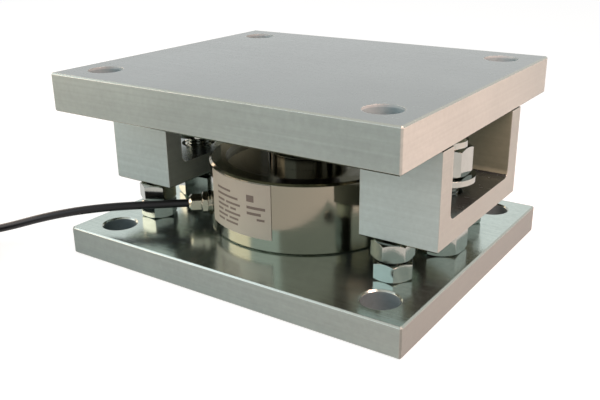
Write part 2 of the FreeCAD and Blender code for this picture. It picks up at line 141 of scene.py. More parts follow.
def feed(tree, node, inputs):
    """Gives a node its inputs: a value is set, and a socket is linked."""
    for key, value in inputs.items():
        if isinstance(value, bpy.types.NodeSocket):
            tree.links.new(value, node.inputs[key])
        else:
            node.inputs[key].default_value = value


def add(tree, kind, inputs=None, output=None, **settings):
    """Adds a shader node with its settings and inputs. Gives the named output, or else the first in use."""
    node = tree.nodes.new("ShaderNode" + kind)
    for name, value in settings.items():
        setattr(node, name, value)
    feed(tree, node, inputs or {})
    if output:
        return node.outputs[output]
    return next(socket for socket in node.outputs if socket.enabled)


def start_material(name, **sockets):
    """A material with constants on its shader's sockets, its tree, the shader and Object coordinates."""
    material = bpy.data.materials.new(name)
    material.use_nodes = True
    tree = material.node_tree
    shader = tree.nodes["Principled BSDF"]
    feed(tree, shader, {socket.replace("_", " "): value for socket, value in sockets.items()})
    return material, tree, shader, add(tree, "TexCoord", output="Object")


def layered(tree, ground, *layers):
    """A colour socket: each layer is a share and a colour that covers the ground where the share is 1."""
    for share, colour in layers:
        ground = add(tree, "Mix", {"Factor": share, "A": ground, "B": colour}, data_type="RGBA")
    return ground


def spotted_material(name, first, second, size, detail, gloss=None, relief=None, rounding=None, **sockets):
    """A material whose two colours meet in soft spots of a size in millimetres.

    gloss is the roughness of the two. relief is the size in millimetres, the detail, the depth in metres and
    the strength of a bump, and rounding the radius at which edges catch the light.
    """
    material, tree, shader, coords = start_material(name, **sockets)
    spots = add(tree, "TexNoise", {"Vector": coords, "Scale": per_size(size), "Detail": detail})
    inputs = {"Base Color": layered(tree, first, (spots, second))}
    if gloss:
        low, high = gloss
        inputs["Roughness"] = add(tree, "MapRange", {"Value": spots, "To Min": low, "To Max": high})
    if relief:
        size, detail, depth, strength = relief
        bumps = add(tree, "TexNoise", {"Vector": coords, "Scale": per_size(size), "Detail": detail})
        inputs["Normal"] = add(tree, "Bump", {"Height": bumps, "Distance": depth, "Strength": strength})
    if rounding:
        inputs["Normal"] = add(tree, "Bevel", {"Radius": rounding}, samples=4)
    feed(tree, shader, inputs)
    return material


# Settings

def colour_property(name, description, hex_colour):
    """A colour that a user may change."""
    return FloatVectorProperty(
        name=name, description=description, default=linear(hex_colour), subtype="COLOR", min=0, max=1)


def length_property(name, description, metres):
    """A length that a user may change."""
    return FloatProperty(name=name, description=description, default=metres, unit="LENGTH", precision=5)


def angle_property(name, description, degrees):
    """An angle that a user may change."""
    return FloatProperty(name=name, description=description, default=math.radians(degrees), subtype="ANGLE")


def power_property(name, description, watts):
    """A lamp's power that a user may change."""
    return FloatProperty(name=name, description=description, default=watts, unit="POWER")


class StageSettings(bpy.types.PropertyGroup):
    """Camera, floor and lamps."""
    camera_place: FloatVectorProperty(
        name="Camera place", description="Where the camera stands", default=(0.2245, -0.3352, 0.1764),
        subtype="TRANSLATION", unit="LENGTH")
    camera_heading: angle_property("Heading", "Turn of the view to the left of +Y", 34.49)
    camera_pitch: angle_property("Pitch", "Fall of the view below the horizon", 20.55)
    camera_roll: angle_property("Roll", "Turn about the view's own axis", -0.73)
    camera_lens: FloatProperty(
        name="Lens", description="Focal length on a sensor 36 mm wide", default=46.06,
        subtype="DISTANCE_CAMERA")
    floor_colour: colour_property("Floor", "Pale floor", "#f2f2f0")
    floor_lift: FloatProperty(name="Floor lift", description="Light that keeps the floor white", default=0.76)
    ambient: FloatProperty(name="Ambient", description="Light of the room on matt surfaces", default=0.45)
    right_lamp_colour: colour_property("Right lamps", "Warm light from the right", "#ffd0c2")
    right_lamp_power: power_property("Right lamp power", "Warm lamp on the right", 1.95)
    floor_lamp_power: power_property("Floor lamp power", "Warm lamp over the floor at the right", 1.2)
    left_lamp_colour: colour_property("Left lamps", "Warm light from the left", "#ffd9b8")
    left_lamp_power: power_property("Left lamp power", "Low warm lamp in front on the left", 2.0)
    back_lamp_power: power_property("Back lamp power", "Warm lamp behind on the left", 3.0)
    front_lamp_colour: colour_property("Front lamp", "Cool light from the front", "#dceeff")
    front_lamp_power: power_property("Front lamp power", "Cool lamp in front", 12.5)


class CableSettings(bpy.types.PropertyGroup):
    """Cable, coil, ties and bared wires."""
    diameter: length_property("Diameter", "Outside of the jacket", 0.0045)
    length: length_property("Length", "From the gland to the cut end", 2.85)
    coil_centre: FloatVectorProperty(
        name="Coil centre", description="Middle of the coil on the floor", default=(-0.1601, -0.1532), size=2,
        unit="LENGTH")
    coil_radius: length_property("Coil radius", "Middle of the turns", 0.033)
    coil_base: length_property("Coil base", "Height of the lowest turn above the floor", 0.001)
    points_per_turn: IntProperty(name="Points per turn", description="Control points of a turn", default=18)
    jacket_colour: colour_property("Jacket", "Black jacket", "#0d0d0e")
    tie_colour: colour_property("Ties", "Black nylon", "#1b1b1c")
    tie_width: length_property("Tie width", "Width of a strap", 0.005)
    tie_thickness: length_property("Tie thickness", "Thickness of a strap", 0.0009)
    wire_radius: length_property("Wire radius", "Outside of a wire's insulation", 0.0005)
    wire_length: length_property("Wire length", "Length of the bared wires", 0.024)


class StudSettings(bpy.types.PropertyGroup):
    """Threads of the studs."""
    jack_diameter: length_property("Jack stud", "Nominal diameter", 0.012)
    jack_pitch: length_property("Jack pitch", "Rise of the thread in a turn", 0.00175)
    lift_diameter: length_property("Anti-lift stud", "Nominal diameter", 0.016)
    lift_pitch: length_property("Anti-lift pitch", "Rise of the thread in a turn", 0.002)
    depth_share: FloatProperty(name="Depth share", description="Depth of a thread by its pitch", default=0.61)
    chamfer: length_property("Chamfer", "Cone at the ends of a stud", 0.0015)


class WeldSettings(bpy.types.PropertyGroup):
    """Beads of the stirrups' welds."""
    ripple_pitch: length_property("Ripple pitch", "Distance between two ripples", 0.0019)
    ripple_height: length_property("Ripple height", "Height of a ripple", 0.00035)
    crown: length_property("Crown", "How far a bead bulges", 0.0007)
    colour: colour_property("Weld metal", "Plated bead", "#8d908a")


class LabelSettings(bpy.types.PropertyGroup):
    """Label on the cell's wall."""
    bearing: angle_property("Bearing", "Direction of the label's middle from +X", 260.0)
    width: length_property("Width", "Length of the label round the wall", 0.045)
    lift: length_property("Lift", "Foil and adhesive on the cell's wall", 0.0004)
    print_height: length_property("Print height", "Thickness of the printed bars", 0.00004)
    foil_colour: colour_property("Foil", "Grey foil", "#aba696")
    ink_colour: colour_property("Ink", "Grey-brown print", "#584e45")


class FinishSettings(bpy.types.PropertyGroup):
    """Colours of the metals."""
    base_colour: colour_property("Base faces", "Zinc on the ground faces of the base plate", "#b8c6bf")
    top_colour: colour_property("Top faces", "Zinc on the rolled faces above the base plate", "#7b8482")
    # Painted shade: the undersides and the sides of the stirrups' windows take this darker olive colour in
    # place of the shade under the top plate
    olive_shade_colour: colour_property("Undersides", "Zinc on the undersides, left yellower", "#7c816f")
    plate_side: colour_property("Plate sides", "Zinc on the long sawn sides of the plates", "#8c9892")
    # Painted light and shade: the top plate's ends are painted lighter as the warm light on them, the base
    # plate's ends darker as shade
    top_end_lit: colour_property("Top ends", "Zinc on the short sawn sides of the top plate", "#a1a8a1")
    base_end_shaded: colour_property("Base ends", "Zinc on the short sawn sides of the base plate", "#7b817b")
    # Painted light and shade: the stirrups' sides are painted lighter as light thrown up from the base plate,
    # their ends darker as shade
    stirrup_side_lit: colour_property("Stirrup sides", "Zinc on the rolled sides of the stirrups", "#a1b1ae")
    stirrup_end_shaded: colour_property("Stirrup ends", "Zinc on the cut sides of the stirrups", "#8f9790")
    top_bore: colour_property("Top bores", "Drilled holes of the top plate", "#93a5a8")
    # Painted shade: the base plate's bores are darker than the top plate's
    base_bore_shaded: colour_property("Base bores", "Duller drilled holes of the base plate", "#748284")
    # Painted highlight: a lighter band at the top of the top plate's bores, down to the rim's depth
    rim_highlight_colour: colour_property("Hole rims", "Deburred rims of the top plate's holes", "#b0bcbd")
    # Painted highlight on chamfers that slant upwards, and real wear on rubbed edges
    edge_wear_and_highlight: colour_property("Plate edges", "Broken and rubbed edges of the plates", "#a8ada4")
    cell_colour: colour_property("Cell", "Polished stainless steel", "#78776a")
    # Painted shade: the load head and the upper faces of the cell, under the top plate
    head_shade_colour: colour_property("Load head", "Darker steel of the load head and the upper faces", "#504f43")
    nut_colour: colour_property("Nuts", "Bright zinc", "#9ba19c")
    nut_cloud: colour_property("Nut cloud", "Darker clouds of the bright zinc", "#858b85")
    gland_colour: colour_property("Gland", "Nickel-plated brass", "#b9b3a2")
    # Painted shade: the load button and thrust piece are near black for the shade between the cell and the
    # top plate
    button_shade_colour: colour_property("Blackened steel", "Load button and thrust piece", "#2c2b28")


class WeighModuleSettings(bpy.types.PropertyGroup):
    """All settings of the weigh module's looks."""
    stage: PointerProperty(type=StageSettings)
    cable: PointerProperty(type=CableSettings)
    studs: PointerProperty(type=StudSettings)
    welds: PointerProperty(type=WeldSettings)
    label: PointerProperty(type=LabelSettings)
    finish: PointerProperty(type=FinishSettings)


# Meshes from grids of points

def grid_quads(rows, columns, close_rows):
    """Corner numbers of the quads that join each row of a grid to the next. Rows are loops."""
    row = np.arange(rows if close_rows else rows - 1)
    row, column = np.meshgrid(row, np.arange(columns), indexing="ij")
    next_row = (row + 1) % rows
    next_column = (column + 1) % columns
    corners = [
        row * columns + column,
        row * columns + next_column,
        next_row * columns + next_column,
        next_row * columns + column,
    ]
    return np.stack(corners, axis=-1).reshape(-1, 4)


def capped(rows):
    """A closed skin from rows of points: the first and last row are drawn together to their own middles."""
    first = np.broadcast_to(rows[:1].mean(axis=1, keepdims=True), rows[:1].shape)
    last = np.broadcast_to(rows[-1:].mean(axis=1, keepdims=True), rows[-1:].shape)
    return np.concatenate([first, rows, last])


def make_piece(name, grids, materials, close_rows=False):
    """One object from grids of points whose rows are loops, each with the number of its material.

    Points that fall together are merged, faces turn outwards, and sharp edges stay sharp.
    """
    points = []
    quads = []
    numbers = []
    first = 0
    for grid, number in grids:
        rows, columns = grid.shape[:2]
        faces = grid_quads(rows, columns, close_rows)
        points.append(grid.reshape(-1, 3))
        quads.append(faces + first)
        numbers.append(np.full(len(faces), number, dtype=np.int32))
        first += rows * columns
    mesh = bpy.data.meshes.new(name)
    mesh.from_pydata(np.concatenate(points).tolist(), [], np.concatenate(quads).tolist())
    for material in materials:
        mesh.materials.append(material)
    mesh.polygons.foreach_set("material_index", np.concatenate(numbers))
    work = bmesh.new()
    work.from_mesh(mesh)
    bmesh.ops.remove_doubles(work, verts=work.verts, dist=1e-7)
    bmesh.ops.recalc_face_normals(work, faces=work.faces)
    work.to_mesh(mesh)
    work.free()
    mesh.shade_smooth()
    mesh.set_sharp_from_angle(angle=CREASE)
    piece = bpy.data.objects.new(name, mesh)
    bpy.context.scene.collection.objects.link(piece)
    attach(piece, "root")
    return piece


def dress(material, *names):
    """Puts a material on CAD nodes."""
    for name in names:
        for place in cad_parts[name].material_slots:
            place.material = material


def smooth_step(value):
    """0 below 0, 1 above 1, and a smooth rise between them."""
    t = np.clip(value, 0, 1)
    return t * t * (3 - 2 * t)


def circle(count):
    """Angles of that many even steps round a full turn."""
    return np.linspace(0, FULL_TURN, count, endpoint=False)


def squarish(wave, power):
    """A sine or cosine to a power, its sign kept: a circle of them becomes a rounded oblong."""
    return np.sign(wave) * np.abs(wave) ** power


# Stage

def place_camera(settings):
    """Camera at the photograph's place, turned by heading, pitch and roll."""
    data = bpy.data.cameras.new("camera")
    data.lens = settings.camera_lens
    data.sensor_width = 36
    data.clip_start = 0.01
    data.clip_end = 50
    camera = bpy.data.objects.new("camera", data)
    turn = Matrix.Rotation(settings.camera_heading, 4, "Z")
    turn = turn @ Matrix.Rotation(math.pi / 2 - settings.camera_pitch, 4, "X")
    turn = turn @ Matrix.Rotation(settings.camera_roll, 4, "Z")
    camera.matrix_world = Matrix.Translation(settings.camera_place) @ turn
    bpy.context.scene.collection.objects.link(camera)
    bpy.context.scene.camera = camera


def seen_or_mirrored(tree):
    """A socket that is 1 for rays from the camera, off metal and through glass."""
    path = add(tree, "LightPath").node.outputs
    rays = path["Is Camera Ray"]
    for kind in ("Is Glossy Ray", "Is Transmission Ray"):
        rays = add(tree, "Math", {0: rays, 1: path[kind]}, operation="MAXIMUM")
    return rays


def light_room(settings):
    """A white room: full white where it is seen or mirrored, and a softer level on matt surfaces."""
    world = bpy.data.worlds.new("white_room")
    world.use_nodes = True
    tree = world.node_tree
    rays = seen_or_mirrored(tree)
    level = add(tree, "MapRange", {"Value": rays, "To Min": settings.ambient, "To Max": 1.0})
    feed(tree, tree.nodes["Background"], {"Color": WHITE, "Strength": level})
    bpy.context.scene.world = world


def pale_floor(settings):
    """Matt pale paper that keeps shadows, lifted to white where it is seen or mirrored."""
    shaded_share = 0.5
    material = bpy.data.materials.new("pale_paper")
    material.use_nodes = True
    tree = material.node_tree
    tree.nodes.remove(tree.nodes["Principled BSDF"])
    matt = add(tree, "BsdfDiffuse", {"Color": tinted(settings.floor_colour, shaded_share)})
    lift = add(tree, "Math", {0: seen_or_mirrored(tree), 1: settings.floor_lift}, operation="MULTIPLY")
    glow = add(tree, "Emission", {"Color": WHITE, "Strength": lift})
    both = add(tree, "AddShader", {0: matt, 1: glow})
    feed(tree, tree.nodes["Material Output"], {"Surface": both})
    return material


def lay_floor(settings):
    """A square of floor just under the base plate."""
    half = 6.0
    z = -0.0002
    corners = [(-half, -half, z), (half, -half, z), (half, half, z), (-half, half, z)]
    mesh = bpy.data.meshes.new("floor")
    mesh.from_pydata(corners, [], [(0, 1, 2, 3)])
    mesh.materials.append(pale_floor(settings))
    floor = bpy.data.objects.new("floor", mesh)
    bpy.context.scene.collection.objects.link(floor)


def hang_lamp(name, power, colour, place, target, width, height, spread=math.pi):
    """A soft rectangular lamp that shines from its place on the target, within an angle of spread."""
    data = bpy.data.lights.new(name, "AREA")
    data.shape = "RECTANGLE"
    data.size = width
    data.size_y = height
    data.energy = power
    data.color = colour
    data.spread = spread
    lamp = bpy.data.objects.new(name, data)
    aim = (Vector(target) - Vector(place)).to_track_quat("-Z", "Y")
    lamp.matrix_world = Matrix.Translation(place) @ aim.to_matrix().to_4x4()
    lamp.visible_camera = False
    bpy.context.scene.collection.objects.link(lamp)


class WEIGH_MODULE_OT_stage(bpy.types.Operator):
    """Camera, white room, floor and lamps"""
    bl_idname = "weigh_module.stage"
    bl_label = "Stage"

    def execute(self, context):
        settings = context.scene.weigh_module.stage
        context.scene.view_settings.view_transform = "Standard"
        place_camera(settings)
        light_room(settings)
        lay_floor(settings)
        hang_lamp("right_lamp", settings.right_lamp_power, settings.right_lamp_colour,
                  place=(0.26, -0.05, 0.32), target=(0.1, -0.05, 0.08), width=0.14, height=0.25)
        hang_lamp("floor_lamp", settings.floor_lamp_power, settings.right_lamp_colour,
                  place=(0.4, 0.18, 0.35), target=(0.4, 0.18, 0.0), width=0.3, height=0.3,
                  spread=math.radians(80))
        hang_lamp("left_lamp", settings.left_lamp_power, settings.left_lamp_colour,
                  place=(-0.6, -0.45, 0.2), target=(-0.1, -0.05, 0.06), width=0.45, height=0.36)
        hang_lamp("back_lamp", settings.back_lamp_power, settings.left_lamp_colour,
                  place=(-1.2, 0.2, 0.5), target=(0.0, 0.0, 0.04), width=0.4, height=0.7)
        hang_lamp("front_lamp", settings.front_lamp_power, settings.front_lamp_colour,
                  place=(-0.9, -1.2, 0.7), target=(0.0, 0.0, 0.05), width=2.2, height=1.3)
        return {"FINISHED"}


# Cable

def coil_turns(settings):
    """Radius, height and hump of each turn of the coil.

    Three layers lie in each other's grooves: four turns from the outside in, five from the inside out,
    and four from the outside in. Upper layers rise a little where the turns change places.
    """
    d = settings.diameter
    hump = 0.15 * d
    even = settings.coil_radius + d * np.array([1.5, 0.5, -0.5, -1.5])
    odd = settings.coil_radius + d * np.array([-2, -1, 0, 1, 2])
    layer = np.repeat([0, 1, 2], [4, 5, 4])
    height = settings.coil_base + d / 2 + layer * (d * LAYER_RISE)
    return np.concatenate([even, odd, even]), height, layer * hump


def coil_top(settings):
    """Height of the coil's three layers above the floor."""
    return settings.coil_base + settings.diameter * (1 + 2 * LAYER_RISE)


def coil_route(settings):
    """Control points of the coil and of the tail on top of it.

    The angle, in degrees, runs on evenly from the end of the route. Each turn keeps its radius and height
    until a short sector, where both go to those of the next turn on a smooth step. The last turn climbs,
    goes inwards and lies on top.
    """
    radii, heights, humps = coil_turns(settings)
    step = 360 / settings.points_per_turn
    first_angle = 113.0
    change_start = 380.0
    change_width = 80.0
    tail_end = 105.0 + 360 * len(radii)
    climb_start = tail_end - 109.0
    climb_width = 34.0
    inwards_start = climb_start + 12.0
    inwards_width = 42.0
    tail_rise = 0.87 * settings.diameter
    tail_hump = 0.45 * settings.diameter
    angle = np.arange(first_angle + step, tail_end, step)
    angle = np.append(angle, tail_end)
    turn = (angle - change_start) / 360
    done = np.floor(turn)
    share = (turn - done) * 360 / change_width
    index = np.clip(done + smooth_step(share), 0, len(radii) - 1)
    hump = np.where(share < 1, np.sin(np.pi * np.minimum(share, 1)) ** 2, 0)
    number = np.arange(len(radii))
    radius = np.interp(index, number, radii)
    height = np.interp(index, number, heights) + hump * np.interp(index, number, humps)
    climb = smooth_step((angle - climb_start) / climb_width)
    inwards = smooth_step((angle - inwards_start) / inwards_width)
    last = angle > climb_start
    height = np.where(last, heights[-1] + climb * (tail_rise + hump * tail_hump), height)
    radius = np.where(last, radii[-1] + inwards * (settings.coil_radius - radii[-1]), radius)
    outside = radius / math.cos(math.pi / settings.points_per_turn)
    turned = np.radians(angle)
    x = settings.coil_centre[0] + outside * np.cos(turned)
    y = settings.coil_centre[1] + outside * np.sin(turned)
    return np.stack([x, y, height], axis=1)


def cable_end(settings):
    """The cut end of the cable, the direction in which it points, and the side that faces out of the coil."""
    route = coil_route(settings)
    ahead = route[-1] - route[-2]
    ahead[2] = 0
    ahead = ahead / np.linalg.norm(ahead)
    outwards = np.array([ahead[1], -ahead[0], 0])
    return route[-1], ahead, outwards


def jacket_material(settings):
    """Black polyurethane jacket, extruded: satin, with a faint orange-peel and dull rubbed patches."""
    black = settings.jacket_colour
    return spotted_material("cable_jacket_polyurethane", tinted(black), tinted(black, 1.6), size=22,
                            detail=2.0, gloss=(0.28, 0.45), relief=(1.6, 3.0, 0.00004, 0.6), IOR=1.5,
                            Specular_IOR_Level=0.3)


def insulation_material(name, hex_colour):
    """PVC insulation of one wire: coloured, slightly glossy, with faint dirt."""
    clean = linear(hex_colour)
    return spotted_material(name, tinted(clean), tinted(clean, 0.7), size=3, detail=3.0,
                            Roughness=0.38)


def tinned_material():
    """Tinned copper strands: bright, with their twist as bands, a third of the pattern's size apart."""
    material, tree, shader, coords = start_material("tinned_copper_strands", Metallic=1.0, Roughness=0.3)
    twist = add(tree, "TexWave", {"Vector": coords, "Scale": per_size(4), "Distortion": 1.5}, output="Fac")
    colour = layered(tree, tinted(linear("#c9c7c0")), (twist, tinted(linear("#a7a29a"))))
    feed(tree, shader, {"Base Color": colour})
    return material


def wire_skin(settings, place):
    """One bared wire as a tube along a path, and where its strands are bare.

    The path leaves the cable's end ahead, spreads sideways and falls on smooth steps until it lies on the
    coil. The radius is that of the insulation, then of the strands, and closes at the tip on a half round.
    """
    start, ahead, outwards = cable_end(settings)
    up = np.array([0, 0, 1.0])
    radius = settings.wire_radius
    strand_radius = 0.6 * radius
    tip_radius = 1e-5
    in_jacket = 0.06
    bare_from = 0.78
    tip_share = 0.03
    spread_share = 0.9
    between_tips = 4.2 * radius
    between_wires = 0.55 * settings.diameter / 2
    along = np.linspace(-in_jacket, 1, 60)
    spread = smooth_step(spread_share * along)
    column = (place % 2 - 0.5) * between_wires
    level = (place // 2 - 0.5) * between_wires
    sideways = column + spread * (place - 1.5) * between_tips
    lying = coil_top(settings) + radius
    height = level + spread * (lying - start[2] - level)
    path = start + np.outer(along * settings.wire_length, ahead)
    path = path + np.outer(sideways, outwards) + np.outer(height, up)
    strands = along > bare_from
    girth = np.where(strands, strand_radius, radius)
    tip = np.clip((1 - along) / tip_share, 0, 1)
    girth = girth * np.sqrt(1 - (1 - tip) ** 2) + tip_radius
    turn = circle(14)
    ring = np.cos(turn)[:, None] * outwards + np.sin(turn)[:, None] * up
    return capped(path[:, None, :] + girth[:, None, None] * ring[None]), strands


class WEIGH_MODULE_OT_lead_wires(bpy.types.Operator):
    """Bared wires at the cable's end"""
    bl_idname = "weigh_module.lead_wires"
    bl_label = "Lead wires"

    def execute(self, context):
        settings = context.scene.weigh_module.cable
        colours = (("wire_red_pvc", "#a8241c"), ("wire_black_pvc", "#191919"),
                   ("wire_green_pvc", "#2b6b38"), ("wire_white_pvc", "#d6d3ca"))
        materials = [insulation_material(name, colour) for name, colour in colours] + [tinned_material()]
        grids = []
        for place in range(len(colours)):
            skin, strands = wire_skin(settings, place)
            bare = 1 + int(np.argmax(strands))
            grids.append((skin[:bare + 1], place))
            grids.append((skin[bare:], len(colours)))
        wires = make_piece("lead_wires_bared", grids, materials)
        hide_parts("lead_wires")
        return {"FINISHED"}


def around_coil(settings, bearing, radial, sideways, z):
    """Points at a bearing of the coil, by their distance from its axis, sideways and in height."""
    out = np.array([math.cos(bearing), math.sin(bearing)])
    side = np.array([-math.sin(bearing), math.cos(bearing)])
    x = settings.coil_centre[0] + radial * out[0] + sideways * side[0]
    y = settings.coil_centre[1] + radial * out[1] + sideways * side[1]
    return np.stack([x, y, z], axis=-1)


def strap_skin(settings, bearing):
    """A strap round the coil's section, as a closed tube.

    The strap's middle follows a rounded oblong in the plane through the coil's axis: the cube of the share
    of half the width plus the cube of the share of half the height is one. The strap's own section is a
    flat oblong with rounded sides, set square to that line.
    """
    line_power = 2 / 3
    section_power = 0.4
    half_thickness = settings.tie_thickness / 2
    half_width = 2.5 * settings.diameter + half_thickness
    half_height = settings.diameter * (0.5 + LAYER_RISE) + half_thickness
    middle = settings.coil_base + half_height - half_thickness
    turn = circle(120)
    across = half_width * squarish(np.cos(turn), line_power)
    height = half_height * squarish(np.sin(turn), line_power)
    slope_across = np.gradient(np.concatenate([across[-1:], across, across[:1]]))[1:-1]
    slope_height = np.gradient(np.concatenate([height[-1:], height, height[:1]]))[1:-1]
    size = np.hypot(slope_across, slope_height)
    normal_across = slope_height / size
    normal_height = -slope_across / size
    around = circle(20)
    flat = settings.tie_width / 2 * squarish(np.cos(around), section_power)
    thick = half_thickness * squarish(np.sin(around), section_power)
    radial = settings.coil_radius + across[:, None] + normal_across[:, None] * thick[None]
    z = middle + height[:, None] + normal_height[:, None] * thick[None]
    sideways = np.broadcast_to(flat[None], radial.shape)
    return around_coil(settings, bearing, radial, sideways, z)


def head_skin(settings, bearing):
    """The strap's head: a rounded block on top of the coil, a superellipsoid of latitude and longitude.

    Its half sizes are shares of the strap's width.
    """
    power = 0.35
    off_middle = 0.006
    half = np.array([0.55, 0.72, 0.4]) * settings.tie_width
    lift = 0.6 * half[2]
    latitude = np.linspace(-np.pi / 2, np.pi / 2, 25)[:, None]
    longitude = circle(40)[None]
    level = squarish(np.cos(latitude), power)
    radial = settings.coil_radius + off_middle + half[0] * level * squarish(np.cos(longitude), power)
    sideways = half[1] * level * squarish(np.sin(longitude), power)
    middle = coil_top(settings) + settings.tie_thickness + lift
    z = middle + half[2] * squarish(np.sin(latitude), power) * np.ones_like(longitude)
    return around_coil(settings, bearing, radial, sideways, z)


def nylon_material(settings):
    """Black nylon of the ties and inserts: moulded, satin, with a fine grain, drawn coarse enough to show."""
    black = settings.tie_colour
    return spotted_material("nylon_moulded", tinted(black), tinted(black, 1.8), size=0.8, detail=2.0,
                            gloss=(0.32, 0.48), IOR=1.53)


class WEIGH_MODULE_OT_coil_ties(bpy.types.Operator):
    """Straps that hold the coil, each with its head"""
    bl_idname = "weigh_module.coil_ties"
    bl_label = "Coil ties"

    def execute(self, context):
        settings = context.scene.weigh_module.cable
        material = nylon_material(settings)
        straps = []
        heads = []
        for degrees in (-10, 170):
            bearing = math.radians(degrees)
            straps.append((strap_skin(settings, bearing), 0))
            heads.append((head_skin(settings, bearing), 0))
        ties = make_piece("coil_tie_straps", straps, [material], close_rows=True)
        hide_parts("coil_ties")
        make_piece("coil_tie_heads", heads, [material])
        dress(material, "lift_inserts")
        return {"FINISHED"}


class WEIGH_MODULE_OT_cable(bpy.types.Operator):
    """The cable: from the gland to the coil, its turns and its tail"""
    bl_idname = "weigh_module.cable"
    bl_label = "Cable"

    def execute(self, context):
        settings = context.scene.weigh_module.cable
        points = np.concatenate([np.array(CABLE_ROUTE), coil_route(settings)])
        weighted = np.concatenate([points, np.ones((len(points), 1))], axis=1)
        curve = bpy.data.curves.new("cable_cord", "CURVE")
        curve.dimensions = "3D"
        curve.bevel_depth = settings.diameter / 2
        curve.bevel_resolution = 5
        curve.resolution_u = 5
        curve.use_fill_caps = True
        line = curve.splines.new("NURBS")
        line.points.add(len(points) - 1)
        line.points.foreach_set("co", weighted.ravel())
        line.order_u = 3
        line.use_endpoint_u = True
        jacket = jacket_material(settings)
        curve.materials.append(jacket)
        cord = bpy.data.objects.new("cable_cord", curve)
        context.scene.collection.objects.link(cord)
        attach(cord, "root")
        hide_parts("cable", "cable_coil", "cable_tail")
        dress(jacket, "cable_entry")
        return {"FINISHED"}


# Studs and nuts

def stud_skin(x, y, z0, z1, radius, pitch, settings):
    """A threaded stud, by height and angle.

    The radius is the nominal one less the depth times a flattened triangle wave of height over pitch minus
    angle over a full turn. A cone trims both ends.
    """
    rows_per_pitch = 12
    crest = 0.16
    flank = 0.66
    depth = settings.depth_share * pitch
    z = np.linspace(z0, z1, int((z1 - z0) / pitch * rows_per_pitch))[:, None]
    angle = circle(48)[None]
    phase = (z / pitch - angle / FULL_TURN) % 1
    wave = np.clip((np.abs(2 * phase - 1) - crest) / flank, 0, 1)
    from_end = np.minimum(z - z0, z1 - z)
    r = np.minimum(radius - depth * wave, radius - settings.chamfer + from_end)
    skin = np.stack([x + r * np.cos(angle), y + r * np.sin(angle), np.broadcast_to(z, r.shape)], axis=-1)
    return capped(skin)


def stud_grids(node, diameter, pitch, places, settings):
    """Threaded skins for the studs of a CAD node, whose places are sides in X and Y."""
    low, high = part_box(node)
    radius = diameter / 2
    grids = []
    for side_x, side_y in places:
        x = side_x * (high.x - radius)
        y = side_y * (high.y - radius)
        grids.append((stud_skin(x, y, low.z, high.z, radius, pitch, settings), 0))
    return grids


def zinc_material(settings):
    """Bright zinc on turned steel: nearly mirror-like, a little cloudy, with fine scratches."""
    material, tree, shader, coords = start_material("zinc_bright", Metallic=1.0)
    cloud = add(tree, "TexNoise", {"Vector": coords, "Scale": per_size(6), "Detail": 4.0})
    scratch = add(tree, "TexNoise", {"Vector": coords, "Scale": per_size(0.7), "Detail": 3.0})
    rounded = add(tree, "Bevel", {"Radius": 0.0003}, samples=4)
    feed(tree, shader, {
        "Base Color": layered(tree, tinted(settings.nut_colour), (cloud, tinted(settings.nut_cloud))),
        "Roughness": add(tree, "MapRange", {"Value": scratch, "To Min": 0.06, "To Max": 0.16}),
        "Normal": add(tree, "Bump", {"Height": scratch, "Distance": 0.00001, "Normal": rounded}),
    })
    return material


class WEIGH_MODULE_OT_fasteners(bpy.types.Operator):
    """Threaded studs, and bright zinc on the nuts, washers and screws"""
    bl_idname = "weigh_module.fasteners"
    bl_label = "Fasteners"

    def execute(self, context):
        settings = context.scene.weigh_module.studs
        zinc = zinc_material(context.scene.weigh_module.finish)
        grids = stud_grids("jack_studs", settings.jack_diameter, settings.jack_pitch, CORNERS, settings)
        jacks = make_piece("jack_studs_threaded", grids, [zinc])
        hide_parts("jack_studs")
        ends = [(side_x, 0) for side_x in SIDES]
        grids = stud_grids("lift_studs", settings.lift_diameter, settings.lift_pitch, ends, settings)
        lifts = make_piece("lift_studs_threaded", grids, [zinc])
        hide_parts("lift_studs")
        dress(zinc, "jack_nuts", "jack_lock_nuts", "lift_nuts", "lift_base_nuts", "lift_washers",
              "cell_screws")
        return {"FINISHED"}


# Plates, stirrups and welds

def streaks(tree, coords, run_x, run_y):
    """Noise drawn out to cutter lines that run that far along X and Y, in millimetres."""
    scale = (per_size(run_x), per_size(run_y), per_size(LINE_WIDTH))
    stretch = add(tree, "Mapping", {"Vector": coords, "Scale": scale})
    return add(tree, "TexNoise", {"Vector": stretch, "Scale": 1.0, "Detail": 2.0})


def facing(tree, normal, axis):
    """A socket that is 1 where the surface faces along that axis."""
    part = add(tree, "SeparateXYZ", {0: normal}, output=axis)
    size = add(tree, "Math", {0: part}, operation="ABSOLUTE")
    return add(tree, "Math", {0: size, 1: FACING}, operation="GREATER_THAN")


def in_bores(tree, coords):
    """A socket that is 1 near the axes of the four bolt holes, which mirror each other in X and Y."""
    quarter = add(tree, "VectorMath", {0: coords}, operation="ABSOLUTE")
    flat = add(tree, "VectorMath", {0: quarter, 1: (1, 1, 0)}, operation="MULTIPLY")
    apart = add(tree, "VectorMath", {0: flat, 1: BOLT_PLACE}, operation="DISTANCE")
    return add(tree, "Math", {0: apart, 1: BOLT_REACH}, operation="LESS_THAN")


